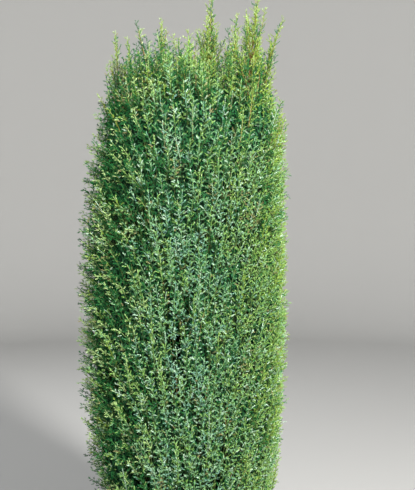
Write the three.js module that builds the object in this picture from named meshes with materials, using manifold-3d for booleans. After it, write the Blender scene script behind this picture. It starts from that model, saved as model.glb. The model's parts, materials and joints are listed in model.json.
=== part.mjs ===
// A Swedish juniper, whole and rooted: a dense, narrow column of upright plumes of needles round one
// trunk, with ten free leaders along its top. Millimetres, +Z up. The origin is the middle of the flat
// cut under the trunk, at ground level, and the side seen in the photograph faces -Y.
import * as THREE from "three";
import { mergeVertices } from "three/addons/utils/BufferGeometryUtils.js";
import Module from "manifold-3d";

const wasm = await Module();
wasm.setup();

// The crown's outline: its radius falls away from the belly to the foot and to the shoulder.
const crownFoot = 45; // ground to the lowest needles
const footReach = 300;
const bellyHeight = 1300;
const bellyReach = 450;
const shoulderHeight = 2120;
const shoulderReach = 408;
const footCurve = 2.6;
const shoulderCurve = 2.2;
const crownShift = 35; // how far the outline's middle moves to the right towards its top
const shiftFoot = 1500;

// The trunk, from the cut at the ground to its tip under the tallest leader.
const trunkTop = 1880;
const trunkFootRadius = 40;
const trunkTipRadius = 9;
const trunkTaperCurve = 0.85;
const trunkLean = 92; // how far the tip stands to the right of the foot
const trunkLeanCurve = 1.6;
const trunkForward = 14; // how far the tip stands in front of the foot
const trunkWander = 9; // slow bends to either side, and the angle each runs through
const acrossBends = 7;
const deepBends = 5;
const flareRadius = 27;
const flareHeight = 85;
const flareRoots = 5;
const flareTurn = 0.6;
const flareHollow = 0.38; // depth of the hollows between the roots, as a share of the flare

// Each bough leaves the trunk steeply and ends where it enters its plume. Round each ring the boughs
// leave the trunk at heights that climb in a spiral, so that no two crowd each other.
const boughRise = 130;
const boughSpiral = 320;
const lowestBough = 75;
const boughRootRadius = 14;
const leaderBoughRadius = 10;
const boughTipRadius = 8;
const boughClearance = 0.3;
const boughSweep = { across: 0.62, rise: 0.16 }; // where it bows, as shares of its run
const boughBend = 0.3; // share of its length that heads straight into its plume
const boughOverrun = 6; // how far its tip runs into the plume's space
const stemRadius = 7;
const coreToBough = 1;

// The room that a plume of foliage keeps.
const plumeGap = 10; // between neighbouring plumes
const limbRoom = 11; // between a plume and a limb beside it
const coreDepth = 62; // from the outline in to the dense core
const coreFootRoom = 22; // from the lowest needles up to a core
const spanSlack = 3;
const coreEnd = 40; // how far a core runs on past the end of its axis
const coreLeast = 7; // a core is at least this far out from its axis
const coreBluntness = 0.7;
const coreLump = 0.92; // its hollows, as a share of how far it could reach
const marchStep = 4;
const farthest = 520; // no march goes further

// Two rings of plumes fill the column below the leaders. Their axes lean out as they rise. entry is
// where along its axis a plume takes its bough, and rises are how steeply its twigs climb, in degrees.
const tiers = [
  { name: "low", count: 7, foot: 78, tip: 890, turn: 0.15, sprays: 13, entry: 0.4, rises: [32, 66] },
  { name: "middle", count: 7, foot: 600, tip: 1560, turn: 0.65, sprays: 13, entry: 0.27, rises: [50, 68] },
];
const axisFootShare = 0.55; // of the crown's radius there
const axisTipShare = 0.8;
const tierBow = 22; // how far its axis bows out
const tierHollow = 118; // clear of the trunk's middle

// The leaders: where each tip stands, and how far its shoot bows back towards the middle below it.
const leaders = [
  { name: "left", across: -292, deep: 30, height: 2458, arch: 0 },
  { name: "left_front", across: -190, deep: -205, height: 2470, arch: 200 },
  { name: "front", across: 12, deep: -300, height: 2335, arch: 10 },
  { name: "right_front", across: 318, deep: -150, height: 2615, arch: 35 },
  { name: "right", across: 434, deep: 70, height: 2520, arch: 115 },
  { name: "right_back", across: 236, deep: 262, height: 2565, arch: 10 },
  { name: "back", across: 0, deep: 322, height: 2385, arch: 30 },
  { name: "left_back", across: -258, deep: 236, height: 2458, arch: 35 },
  { name: "left_middle", across: -95, deep: 25, height: 2512, arch: -8, inner: true },
  { name: "middle", across: 122, deep: -22, height: 2608, arch: 0, onTrunk: true },
];
const outerLeaders = leaders.filter((leader) => !leader.inner && !leader.onTrunk).length;
const leaderFoot = 1195;
const leaderFootShare = 0.53;
const leaderHollow = 92;
const hollowTop = 1500; // above this no bough stands beside the trunk
const leaderEntry = 0.17;
const leaderSprays = 14;
const leaderBend = 0.62; // where along it a leader bows
const innerFoot = 1560;
const innerFootShare = { across: 0.6, deep: 2 }; // of its tip's place
const innerHollow = 26;
const innerEntry = 0.1;
const middleFoot = trunkTop + 22;
const spireStart = 2230; // above this the leaders stand free of each other
const freeHeight = 2150; // above this a leader's twigs stand out all round it
const spireFootReach = 112;
const spireCurve = 1.5;
const spireSpread = 0.5; // how fast a leader widens below spireStart
const spireCoreShare = 0.36;
const spireBlend = 270; // height over which a core narrows into its spire

// Sprays: toothed blades of needles that stand out of the core.
const sprayLength = 240;
const sprayLeast = 0.82; // the shortest, as a share of the longest
const spireSprayLength = 120;
const spireSprayLeast = 0.75;
const spireSprayWidth = 58;
const spraySunk = 6; // a spire's spray starts this far behind its axis, any other this far past it
const sprayShown = 0.55; // a spray with less room than this share of its length is left out
const sprayWidth = 104;
const sprayThickness = 12;
const fanWidth = 1.7; // how wide twigs fan out across a plume's open side, as a slope
const leaderRises = [60, 74];
const riseJitter = 9;
const rollJitter = THREE.MathUtils.degToRad(38);
const goldenShare = 0.6180339887;
const firstSeed = 4100;
const seedStep = 97;

const up = new THREE.Vector3(0, 0, 1);

// A repeatable stream of numbers from 0 to 1.
function makeDraw(seed) {
  let state = seed;
  return () => {
    state = (state * 16807) % 2147483647;
    return state / 2147483647;
  };
}

const lerp = THREE.MathUtils.lerp;

function reachAt(height) {
  const below = height < bellyHeight;
  const span = below ? bellyHeight - crownFoot : shoulderHeight - bellyHeight;
  const drop = below ? bellyReach - footReach : bellyReach - shoulderReach;
  const away = Math.abs(height - bellyHeight) / span;
  return bellyReach - drop * away ** (below ? footCurve : shoulderCurve);
}

function middleAt(height) {
  return crownShift * THREE.MathUtils.smoothstep(height, shiftFoot, spireStart);
}

function trunkCentre(height) {
  const share = height / trunkTop;
  const x = trunkLean * share ** trunkLeanCurve + trunkWander * Math.sin(share * acrossBends);
  const y = trunkWander * Math.sin(share * deepBends) - trunkForward * share;
  return new THREE.Vector3(x, y, height);
}

function trunkRadius(height) {
  const share = THREE.MathUtils.clamp(height / trunkTop, 0, 1);
  return lerp(trunkFootRadius, trunkTipRadius, share ** trunkTaperCurve);
}

// A closed tube of the given cross-section round a line, from a cylinder whose points are moved.
// Its sections stand square to the line, or are level.
function limb(sides, segments, centreAt, radiusAt, isLevel = false) {
  const geometry = new THREE.CylinderGeometry(1, 1, 1, sides, segments);
  const places = geometry.getAttribute("position");
  const point = new THREE.Vector3();
  for (let i = 0; i < places.count; i++) {
    point.fromBufferAttribute(places, i);
    const along = point.y + 0.5;
    const [before, after] = [Math.max(along - 0.01, 0), Math.min(along + 0.01, 1)];
    const ahead = isLevel ? up : centreAt(after).sub(centreAt(before)).normalize();
    const side = new THREE.Vector3(0, 1, 0).cross(ahead).normalize();
    const other = ahead.clone().cross(side);
    const radius = radiusAt(along, Math.atan2(point.x, point.z));
    const moved = centreAt(along);
    moved.addScaledVector(side, point.z * radius).addScaledVector(other, point.x * radius);
    places.setXYZ(i, moved.x, moved.y, moved.z);
  }
  return geometry;
}

function solidOf(geometry) {
  const bare = geometry.clone();
  bare.deleteAttribute("normal");
  bare.deleteAttribute("uv");
  const merged = mergeVertices(bare, 1e-4);
  return new wasm.Manifold(
    new wasm.Mesh({
      numProp: 3,
      vertProperties: new Float32Array(merged.getAttribute("position").array),
      triVerts: new Uint32Array(merged.index.array),
    }),
  );
}

function geometryOf(solid) {
  const mesh = solid.getMesh();
  const geometry = new THREE.BufferGeometry();
  geometry.setAttribute("position", new THREE.BufferAttribute(mesh.vertProperties, 3));
  geometry.setIndex(new THREE.BufferAttribute(mesh.triVerts, 1));
  geometry.computeVertexNormals();
  return geometry;
}

function trunkGeometry(clearance) {
  const sides = 15;
  const rings = 13;
  const heightAt = (along) => trunkTop * along ** 1.7; // rings crowd at the flare
  const radiusAt = (along, angle) => {
    const flare = Math.exp(-heightAt(along) / flareHeight);
    const root = 1 - flareHollow + flareHollow * Math.cos(flareRoots * angle + flareTurn);
    return trunkRadius(heightAt(along)) + flareRadius * flare * root + clearance;
  };
  return limb(sides, rings, (along) => trunkCentre(heightAt(along)), radiusAt, true);
}

// Nearest distance from a point to a chain of straight pieces.
function distanceTo(point, chain) {
  const piece = new THREE.Line3();
  const nearest = new THREE.Vector3();
  let best = Infinity;
  for (let i = 0; i + 1 < chain.length; i++) {
    piece.set(chain[i], chain[i + 1]);
    best = Math.min(best, piece.closestPointToPoint(point, true, nearest).distanceTo(point));
  }
  return best;
}

function plumeOf(details, foot, bend, tip) {
  const curve = new THREE.QuadraticBezierCurve3(foot, bend, tip);
  return { ...details, curve, chain: curve.getPoints(8) };
}

function onCircle(radius, angle, height) {
  return new THREE.Vector3(radius * Math.cos(angle), radius * Math.sin(angle), height);
}

// How far up the spiral a bough leaves the trunk: every third one round the ring follows on.
function spiralAt(index, count) {
  return ((3 * index) % count) / count;
}

function tierPlumes(tier) {
  return Array.from({ length: tier.count }, (_, i) => {
    const angle = (2 * Math.PI * (i + tier.turn)) / tier.count;
    const foot = onCircle(axisFootShare * reachAt(tier.foot), angle, tier.foot);
    const tip = onCircle(axisTipShare * reachAt(tier.tip), angle, tier.tip);
    const bend = foot.clone().lerp(tip, 0.5).addScaledVector(onCircle(1, angle, 0), tierBow);
    const details = {
      name: `${tier.name}_${i + 1}`,
      hollow: tierHollow,
      entry: tier.entry,
      boughRadius: boughRootRadius,
      spiral: spiralAt(i, tier.count),
      sprays: tier.sprays,
      rises: tier.rises,
    };
    return plumeOf(details, foot, bend, tip);
  });
}

function leaderPlume(leader, i) {
  const tip = new THREE.Vector3(leader.across, leader.deep, leader.height);
  const angle = Math.atan2(leader.deep, leader.across);
  let foot = onCircle(leaderFootShare * reachAt(leaderFoot), angle, leaderFoot);
  if (leader.inner) {
    const { across, deep } = innerFootShare;
    foot = new THREE.Vector3(across * leader.across, deep * leader.deep, innerFoot);
  }
  if (leader.onTrunk) foot = trunkCentre(trunkTop).setZ(middleFoot);
  const bend = foot.clone().lerp(tip, leaderBend).addScaledVector(onCircle(1, angle, 0), -leader.arch);
  const apart = leader.inner || leader.onTrunk;
  const details = {
    name: `leader_${leader.name}`,
    hollow: apart ? innerHollow : leaderHollow,
    entry: apart ? innerEntry : leaderEntry,
    boughRadius: leaderBoughRadius,
    spiral: spiralAt(i, outerLeaders),
    sprays: leaderSprays,
    rises: leaderRises,
    spireTip: leader.height,
    onTrunk: leader.onTrunk,
  };
  return plumeOf(details, foot, bend, tip);
}

// How far from its own axis a plume's needles may reach. Only the leaders are bounded.
function spanOf(plume, height) {
  if (!plume.spireTip) return Infinity;
  if (height < spireStart) return spireFootReach + (spireStart - height) * spireSpread;
  const left = Math.max(plume.spireTip - height, 0) / (plume.spireTip - spireStart);
  return spireFootReach * left ** spireCurve;
}

// A leader's core fills its span low down and narrows to a slim spine in its spire.
function coreShareAt(height) {
  return lerp(1, spireCoreShare, THREE.MathUtils.smoothstep(height, spireStart - spireBlend, spireStart));
}

const plumes = [...tiers.flatMap(tierPlumes), ...leaders.map(leaderPlume)];
const trunkSteps = 12;
const trunkShares = Array.from({ length: trunkSteps + 1 }, (_, i) => i / trunkSteps);
const trunkChain = trunkShares.map((share) => trunkCentre(trunkTop * share));
const boughs = [];

// True where the point lies in the plume's own space: inside the outline, nearer to its own axis than
// to any other, and clear of the limbs. The core keeps deeper in than the needles.
function hasRoom(plume, point, isCore) {
  if (point.z < crownFoot + (isCore ? coreFootRoom : 0)) return false;
  if (point.z < spireStart) {
    const edge = reachAt(point.z) - (isCore ? coreDepth : 0);
    if (Math.hypot(point.x - middleAt(point.z), point.y) > edge) return false;
  }
  const own = distanceTo(point, plume.chain);
  if (own > spanOf(plume, point.z) * (isCore ? coreShareAt(point.z) : 1) + spanSlack) return false;
  if (distanceTo(point, trunkChain) < (point.z > hollowTop ? innerHollow : plume.hollow)) return false;
  if (boughs.some((bough) => distanceTo(point, bough.chain) < boughRootRadius + limbRoom)) return false;
  return plumes.every((other) => other === plume || distanceTo(point, other.chain) - own > plumeGap);
}

function march(plume, start, direction, isCore) {
  const point = new THREE.Vector3();
  let reached = 0;
  while (reached < farthest) {
    point.copy(start).addScaledVector(direction, reached + marchStep);
    if (!hasRoom(plume, point, isCore)) break;
    reached += marchStep;
  }
  return reached;
}

// The bough's line: from the trunk's middle, steeply up and out to the inner side of its plume.
function boughOf(plume) {
  const entry = plume.curve.getPoint(plume.entry);
  const trunkAt = trunkCentre(entry.z);
  const away = Math.hypot(entry.x - trunkAt.x, entry.y - trunkAt.y);
  const inward = trunkCentre(Math.max(entry.z - away, lowestBough)).sub(entry).normalize();
  const tip = entry.clone().addScaledVector(inward, march(plume, entry, inward, true) + boughOverrun);
  const root = trunkCentre(Math.max(tip.z - boughRise - boughSpiral * plume.spiral, lowestBough));
  const sweep = root.clone().lerp(tip, boughSweep.across).setZ(lerp(root.z, tip.z, boughSweep.rise));
  const bend = tip.clone().addScaledVector(inward, boughBend * tip.distanceTo(root));
  const curve = new THREE.CubicBezierCurve3(root, sweep, bend, tip);
  const radiusAt = (along) => lerp(plume.boughRadius, boughTipRadius, along);
  return { curve, radiusAt, chain: curve.getPoints(6), outward: inward.negate() };
}

// A bough's solid, or the room it takes with a clearance round it and past its tip.
function boughSolid({ curve, radiusAt }, clearance = 0) {
  const stretch = 1 + clearance / curve.getLength();
  const centreAt = (along) => curve.getPoint(along * stretch);
  return solidOf(limb(6, 5, centreAt, (along) => radiusAt(along) + clearance));
}

function largest(pieces) {
  return pieces.reduce((best, piece) => (piece.volume() > best.volume() ? piece : best));
}

// The plume's stem, from just clear of the tip of the limb that carries it to its axis in the core.
function stemSolid(plume) {
  const { bough, curve, entry } = plume;
  const start = bough ? bough.curve.getPoint(1) : trunkCentre(trunkTop);
  const ahead = bough ? bough.outward : up;
  const from = start.clone().addScaledVector(ahead, boughClearance);
  const end = start.clone().addScaledVector(ahead, start.distanceTo(curve.getPoint(entry)));
  return solidOf(limb(5, 1, (along) => from.clone().lerp(end, along), () => stemRadius));
}

// The dense core: a sphere's points are sent out from the plume's axis to the edge of its space, level
// along its sides and more and more up or down towards its ends. A leader's spire keeps to the level.
function coreSolid(plume, draw) {
  const [around, rings] = plume.spireTip ? [10, 9] : [12, 8];
  const outward = plume.curve.getPoint(0.5);
  const heading = Math.atan2(outward.y, outward.x);
  const geometry = new THREE.SphereGeometry(1, around, rings);
  geometry.deleteAttribute("normal");
  geometry.deleteAttribute("uv");
  const merged = mergeVertices(geometry, 1e-5);
  const places = merged.getAttribute("position");
  const point = new THREE.Vector3();
  for (let i = 0; i < places.count; i++) {
    point.fromBufferAttribute(places, i);
    const even = 1 - Math.acos(THREE.MathUtils.clamp(point.y, -1, 1)) / Math.PI;
    const isSpire = plume.spireTip && point.y > 0;
    const share = isSpire ? even : lerp(even, (point.y + 1) / 2, coreBluntness);
    const start = plume.curve.getPoint(share);
    const lump = lerp(coreLump, 1, draw());
    const tilt = isSpire ? 0 : (point.y ** 3 * Math.PI) / 2;
    if (!isSpire || even < 1) {
      const direction = onCircle(Math.cos(tilt), heading + Math.atan2(-point.z, point.x), Math.sin(tilt));
      const most = lerp(farthest, coreEnd, Math.abs(Math.sin(tilt)));
      const reached = THREE.MathUtils.clamp(march(plume, start, direction, true), coreLeast, most);
      start.addScaledVector(direction, reached * lump);
    }
    places.setXYZ(i, start.x, start.y, start.z);
  }
  return solidOf(merged);
}

// The outline of a spray, from its root at 0 to its tip at 1, as shares of its length and half width.
const sprayTeeth = [
  { along: 0.5, out: 1 },
  { along: 0.44, out: 0.3 },
  { along: 0.79, out: 0.66 },
  { along: 0.72, out: 0.18 },
];
const toothStagger = 0.035; // the teeth on its right stand this much further on
const sprayBelly = 0.3; // where a spray is thickest

function sprayOutline(root, ahead, side, length, width) {
  const place = (along, out) =>
    root.clone().addScaledVector(ahead, along * length).addScaledVector(side, (out * width) / 2);
  const left = sprayTeeth.map(({ along, out }) => place(along, out));
  const right = sprayTeeth.map(({ along, out }) => place(along + toothStagger, -out)).reverse();
  return [place(0, 0), ...left, place(1, 0), ...right];
}

// A toothed blade, thickest in its middle and sharp at its edge.
function bladeSolid(outline, middle, face, thickness) {
  const points = [...outline];
  points.push(middle.clone().addScaledVector(face, thickness / 2));
  points.push(middle.clone().addScaledVector(face, -thickness / 2));
  const [top, bottom] = [outline.length, outline.length + 1];
  const index = outline.flatMap((_, i) => {
    const next = (i + 1) % outline.length;
    return [next, i, top, i, next, bottom];
  });
  const geometry = new THREE.BufferGeometry().setFromPoints(points);
  geometry.setIndex(index);
  return solidOf(geometry);
}

// Where a plume's twigs reach the outline, spaced evenly up its axis and across its open side.
function twigsOf(plume, draw) {
  const [low, high] = plume.rises.map(THREE.MathUtils.degToRad);
  const twigs = [];
  for (let i = 0; i < plume.sprays; i++) {
    const along = (i + 0.5) / plume.sprays;
    const start = plume.curve.getPoint(along);
    const turn = (i * goldenShare) % 1;
    const free = plume.spireTip && start.z > freeHeight;
    const fan = free ? (2 * turn - 1) * Math.PI : Math.atan((2 * turn - 1) * fanWidth);
    const heading = Math.atan2(start.y, start.x) + fan;
    const rise = lerp(low, high, along) + THREE.MathUtils.degToRad((2 * draw() - 1) * riseJitter);
    const roll = (draw() - 0.5) * 2 * rollJitter;
    const direction = onCircle(Math.cos(rise), heading, Math.sin(rise));
    const reached = march(plume, start, direction, false);
    twigs.push({ start, direction, reached, roll, free });
  }
  return twigs;
}

function spraySolids(plume, draw) {
  const solids = [];
  for (const { start, direction, reached, roll, free } of twigsOf(plume, draw)) {
    const [longest, least, width] = free
      ? [spireSprayLength, spireSprayLeast, spireSprayWidth]
      : [sprayLength, sprayLeast, sprayWidth];
    const length = longest * lerp(least, 1, draw());
    const sunk = Math.max(reached - length, free ? -spraySunk : spraySunk);
    const root = start.clone().addScaledVector(direction, sunk);
    const side = up.clone().cross(direction).normalize().applyAxisAngle(direction, roll);
    const face = direction.clone().cross(side);
    const shown = Math.min(length, reached - sunk);
    if (shown < sprayShown * length) continue;
    const outline = sprayOutline(root, direction, side, shown, width);
    const standing = outline.slice(1);
    if (!standing.every((point) => hasRoom(plume, point, false))) continue;
    const middle = root.clone().addScaledVector(direction, sprayBelly * shown);
    solids.push(bladeSolid(outline, middle, face, sprayThickness));
  }
  return solids;
}

function plumeSolid(plume, index) {
  const draw = makeDraw(firstSeed + seedStep * index);
  const solid = coreSolid(plume, draw);
  const core = plume.bough ? solid.subtract(boughSolid(plume.bough, coreToBough)) : solid;
  const sprays = spraySolids(plume, draw);
  const whole = sprays.reduce((made, spray) => made.add(spray), core.add(stemSolid(plume)));
  return largest(whole.decompose());
}

function needleMaterial(name) {
  const colours = { low: 0x3f6b45, middle: 0x4a7a49, leader: 0x6d9448 };
  const color = colours[name.split("_")[0]];
  return new THREE.MeshStandardMaterial({ color, roughness: 0.75, metalness: 0 });
}

const bark = new THREE.MeshStandardMaterial({ color: 0x6b4a35, roughness: 0.95, metalness: 0 });

const juniper = new THREE.Group();

function addPiece(name, geometry, material) {
  const mesh = new THREE.Mesh(geometry, material);
  mesh.name = name;
  juniper.add(mesh);
}

addPiece("trunk", trunkGeometry(0), bark);

const trunkCutter = solidOf(trunkGeometry(boughClearance));
for (const plume of plumes.filter((p) => !p.onTrunk)) {
  plume.bough = boughOf(plume);
}
boughs.push(...plumes.filter((p) => p.bough).map((p) => p.bough));

plumes.forEach((plume, index) => {
  if (plume.bough) {
    const bough = largest(boughSolid(plume.bough).subtract(trunkCutter).decompose());
    addPiece(`bough_${plume.name}`, geometryOf(bough), bark);
  }
  addPiece(`foliage_${plume.name}`, geometryOf(plumeSolid(plume, index)), needleMaterial(plume.name));
});

export default juniper;
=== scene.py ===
# A Swedish juniper in its studio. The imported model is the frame. Its masses are grown out again
# here as shoots and needles by the source's rule, and the trunk and boughs get their bark.
# Metres, +Z up.
import json
import math

import bpy
import numpy as np
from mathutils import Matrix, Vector

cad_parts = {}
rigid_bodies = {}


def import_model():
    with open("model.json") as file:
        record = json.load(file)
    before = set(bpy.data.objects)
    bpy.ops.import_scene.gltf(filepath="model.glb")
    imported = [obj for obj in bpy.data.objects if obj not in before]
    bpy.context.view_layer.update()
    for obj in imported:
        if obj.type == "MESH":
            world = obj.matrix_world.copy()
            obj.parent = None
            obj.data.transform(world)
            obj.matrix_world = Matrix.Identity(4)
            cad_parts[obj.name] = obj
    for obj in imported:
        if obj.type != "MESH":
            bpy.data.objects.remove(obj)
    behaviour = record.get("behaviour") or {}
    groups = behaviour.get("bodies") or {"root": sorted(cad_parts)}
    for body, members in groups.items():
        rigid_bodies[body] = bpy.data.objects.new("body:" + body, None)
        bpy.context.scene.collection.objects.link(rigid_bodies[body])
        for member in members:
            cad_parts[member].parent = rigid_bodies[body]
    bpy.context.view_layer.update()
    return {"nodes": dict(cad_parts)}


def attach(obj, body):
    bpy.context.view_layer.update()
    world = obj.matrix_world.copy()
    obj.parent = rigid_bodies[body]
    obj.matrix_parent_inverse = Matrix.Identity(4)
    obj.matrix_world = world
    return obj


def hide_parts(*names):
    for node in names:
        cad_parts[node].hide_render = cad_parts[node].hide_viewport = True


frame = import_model()
bpy.ops.object.select_all(action="DESELECT")
print("frame loaded:", len(frame["nodes"]), "nodes")

nearlyUp = np.array([0.01, 0.01, 1.01])  # no stem grows along it
goldenShare = 0.6180339887
goldenAngle = 2 * math.pi * goldenShare

# Where the random draws of each stage start, and their step from one plume to the next
seeds = {
    "rule": (4100, 97),
    "outline": (71, 0),
    "streaks": (57, 0),
    "dome": (93, 0),
    "shoots": (2207, 0),
    "masses": (8200, 131),
    "stems": (512, 1),
}

# The crown's outline, as in the source
crown = {
    "foot": 0.045,
    "footReach": 0.300,
    "bellyHeight": 1.300,
    "bellyReach": 0.450,
    "shoulderHeight": 2.120,
    "shoulderReach": 0.408,
    "footCurve": 2.6,
    "shoulderCurve": 2.2,
    "shift": 0.035,
    "shiftFoot": 1.500,
    "spireStart": 2.230,
}

trunk = {
    "top": 1.880,
    "lean": 0.092,
    "leanCurve": 1.6,
    "forward": 0.014,
    "wander": 0.009,
    "acrossBends": 7,
    "deepBends": 5,
    "hollow": 0.050,  # nothing green comes nearer to its middle
}

# Two rings of plumes below the leaders; twigs is how many each plume's axis carries
tiers = [
    {"name": "low", "foot": 0.078, "tip": 0.890, "turn": 0.15, "twigs": 74, "rises": (14, 50)},
    {"name": "middle", "foot": 0.600, "tip": 1.560, "turn": 0.65, "twigs": 86, "rises": (24, 52)},
]
tierAxis = {"count": 7, "footShare": 0.55, "tipShare": 0.8, "bow": 0.022}

# Each leader's tip, across, deep and high, and how far its axis bows towards the middle
leaders = {
    "left": (-0.292, 0.030, 2.458, 0),
    "left_front": (-0.190, -0.205, 2.470, 0.200),
    "front": (0.012, -0.300, 2.335, 0.010),
    "right_front": (0.318, -0.150, 2.615, 0.035),
    "right": (0.434, 0.070, 2.520, 0.115),
    "right_back": (0.236, 0.262, 2.565, 0.010),
    "back": (0, 0.322, 2.385, 0.030),
    "left_back": (-0.258, 0.236, 2.458, 0.035),
    "left_middle": (-0.095, 0.025, 2.512, -0.008),
    "middle": (0.122, -0.022, 2.608, 0),
}
leaderAxis = {
    "inner": "left_middle",  # it leaves the trunk higher up
    "onTrunk": "middle",  # it sits on the trunk's tip
    "foot": 1.195,
    "footShare": 0.53,
    "bend": 0.62,
    "innerFoot": 1.560,
    "innerAcross": 0.6,
    "innerDeep": 2,
    "middleFoot": 1.902,
    "twigs": 104,
    "innerTwigs": 40,
    "rises": (30, 56),
    "spireReach": 0.112,
    "spireCurve": 1.5,
    "spread": 0.5,
}

# The outer shell: the twigs of the source's rule end in shoots there, and finer ones fill the gaps
shell = {
    "fanWidth": 2.1,  # how wide the twigs fan out across a plume's open side, as a slope
    "riseJitter": 9,
    "overlap": 0.050,  # how far plumes run into each other's space
    "skin": 0.005,  # shoots end this far inside the outline
    "relief": 0.010,  # how far strands of shoots stand out and sink in
    "rowRelief": 2.3,  # and the rows on the left, as a share of that
    "reliefMiddle": 0.5,
    "hidden": 0.060,  # a twig that ends deeper in than this is left out
    "spots": 9000,
    "footGap": 0.020,
    "top": 2.175,
    "ragged": 0.055,
    "raggedBelow": 0.220,  # how far below the shell's top its upper edge is ragged
    "rounding": 0.045,
    "shoulder": (1.980, 2.180),
    "apart": 0.0335,  # no finer twig ends nearer to another than this
    "underDepth": 0.034,
    "underSpots": 3200,
    "underApart": 0.0395,
}
# Strands round the column: for each wave how many, their slant, start, swing and weight
strand = {
    "waves": (
        (7, 0, 0.6, 1.3, 1),
        (13, -1.9, 2.2, 0, 1),
        (29, 2.3, 0, 0, 1),
        (47, -3.1, 4, 0, 0.6),
    ),
    "sway": 2.1,
    "whole": 3.2,
}
# Rows of shoots on the left side: how many round the column, their slant up it and how they waver
rowWave = {"count": 31, "slant": 62, "waver": 9}
# Where the left side starts and where it is full, as -x or -y in a circle of radius 1
leftSide = {
    "whole": (0.40, 0.95),
    "lean": (0.20, 0.90),
    "edge": (0.10, 0.90),
    "front": (0.15, 0.85),
    "turnsFront": (-0.50, 0.25),
}
# Upright leads that stand among the shell's shoots, more of them near its top
streak = {
    "count": 120,
    "heights": (0.500, 2.230),
    "towardsTop": 0.75,
    "steep": 0.85,
    "leftLean": 0.7,  # how much less steep they are on the left side
    "yellower": 0.25,
}
# The dome between the leaders: upright shoots, higher near a leader
dome = {
    "spots": 1700,
    "apart": 1.25,  # as a share of the shell's
    "height": 2.262,
    "fall": 0.125,  # how much lower it is at its rim
    "rise": 0.130,
    "near": 0.080,
    "ragged": 0.042,
    "raggedMost": 0.130,
    "reachShare": 0.95,
}

# A shoot stands in the crown's outer shell; its branchlets carry the needles in whorls of three
shoot = {
    "length": (0.130, 0.220),
    "riseAtRoot": (66, 82),
    "riseAtTip": (44, 70),
    "leftLean": 26,  # how much lower it ends on the left side, and a third of it at its root
    "sideways": 0.42,
    "strays": 0.12,  # this share of the shoots stands out and nods, apart from steep ones
    "strayLimit": 0.5,
    "strayOut": 0.019,
    "strayShare": (0.3, 1),
    "strayRise": (-10, 30),
    "steepRise": 80,
    "steepZone": (1.900, 2.250),  # shoots turn steeper here, by up to the share below
    "steepShare": 0.6,
    "footZone": (0.080, 0.420),  # below it shoots leave the boughs flat and turn up
    "footRises": (4, 52),
    "footGap": 0.012,
}
# A leader's free top: a lead shoot on its axis, tight with needles, and steep side shoots round it
spire = {
    "foot": 2.060,
    "leadLength": 0.300,
    "bareTop": 0.034,
    "spacing": 0.0084,
    "length": (0.016, 0.165),
    "lengthJitter": (0.70, 1.15),
    "turnJitter": 0.4,
    "tipTurnJitter": 0.5,
    "slim": (0.100, 0.400),  # below its tip a leader starts to widen, and has its full width
    "forks": 8,  # smaller leads beside it
    "forkTurn": 2.3,  # from one leader to the next
    "forkBelow": (0.120, 0.420),  # how far below its tip they leave it
    "forkShare": (0.42, 0.66),  # their length, as a share of that
    "forkRises": ((60, 74), (78, 90)),
    # The forks that the photo shows: how far below the tip, heading in degrees, and their share
    "seenForks": {
        "leader_right_front": ((0.300, -5, 0.76), (0.210, 190, 0.45)),
        "leader_middle": ((0.290, 185, 0.50), (0.350, 170, 0.42)),
    },
    "seenRise": 0.45,  # where between the rises above theirs lie
    "riseAtRoot": (50, 66),
    "riseAtTip": (68, 86),
}
# For each kind of shoot: shell, under, side and lead
branchlet = {
    "spacing": (0.0090, 0.0240, 0.0115, 0.0098),
    "length": ((0.020, 0.036), (0.036, 0.060), (0.020, 0.040), (0.016, 0.032)),
    "first": (0.30, 0.35, 0.22, 0.05),  # where up its shoot the first one stands
    "last": (0.98, 0.97, 0.94, 0.97),
    "lean": ((40, 66), (34, 58), (32, 54), (30, 54)),
    "turn": 1.7,  # from one shoot to the next
    "turnJitter": 0.3,
    "taper": 0.40,
    "leftShorter": 0.28,
    "shortest": 0.012,
    "ahead": 0.35,  # how much it bends to its shoot's heading
    "nod": (0.55, 0.65),  # and out and down; the second comes on top on the left side
    "nodSpread": (0.2, 1.6),
}
needle = {
    "whorlSpacing": (0.0067, 0.0110, 0.0068, 0.0060),
    "length": (0.0105, 0.0145),
    "width": 0.0030,
    "lean": (33, 16),
    "leanJitter": 8,
    "turn": 0.9,  # from one stem to the next
    "turnJitter": 0.25,
    "firstWhorl": 0.6,
    "shortestStem": 0.004,
    "tipLength": 0.72,
    "tightLength": 0.85,
    "belly": 0.30,
    "keel": 0.22,
    "bareShoot": (0.60, 0.75, 0.15, 0.12),  # up to where each kind of shoot carries none of its own
    "bareBranchlet": 0.08,
    "shootSpacing": 1.2,
}
shellKind, underKind, sideKind, leadKind = range(4)


def lerp(low, high, share):
    return low + (high - low) * share


def smooth(low, high, value):
    share = np.clip((value - low) / (high - low), 0, 1)
    return share * share * (3 - 2 * share)


def unit(vectors):
    return vectors / np.maximum(np.linalg.norm(vectors, axis=-1, keepdims=True), 1e-9)


def onCircle(radius, angle, height):
    parts = np.broadcast_arrays(radius * np.cos(angle), radius * np.sin(angle), height)
    return np.stack([np.asarray(part, float) for part in parts], axis=-1)


def angleOf(points):
    return np.arctan2(points[:, 1], points[:, 0])


def drawsFor(stage, own=0):
    start, step = seeds[stage]
    return np.random.default_rng(start + step * own)


def reachAt(height):
    height = np.asarray(height, float)
    foot, belly, shoulder = crown["foot"], crown["bellyHeight"], crown["shoulderHeight"]
    below = height < belly
    span = np.where(below, belly - foot, shoulder - belly)
    end = np.where(below, crown["footReach"], crown["shoulderReach"])
    curve = np.where(below, crown["footCurve"], crown["shoulderCurve"])
    away = np.abs(height - belly) / span
    return crown["bellyReach"] - (crown["bellyReach"] - end) * away**curve


def middleAt(height):
    return crown["shift"] * smooth(crown["shiftFoot"], crown["spireStart"], height)


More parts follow.
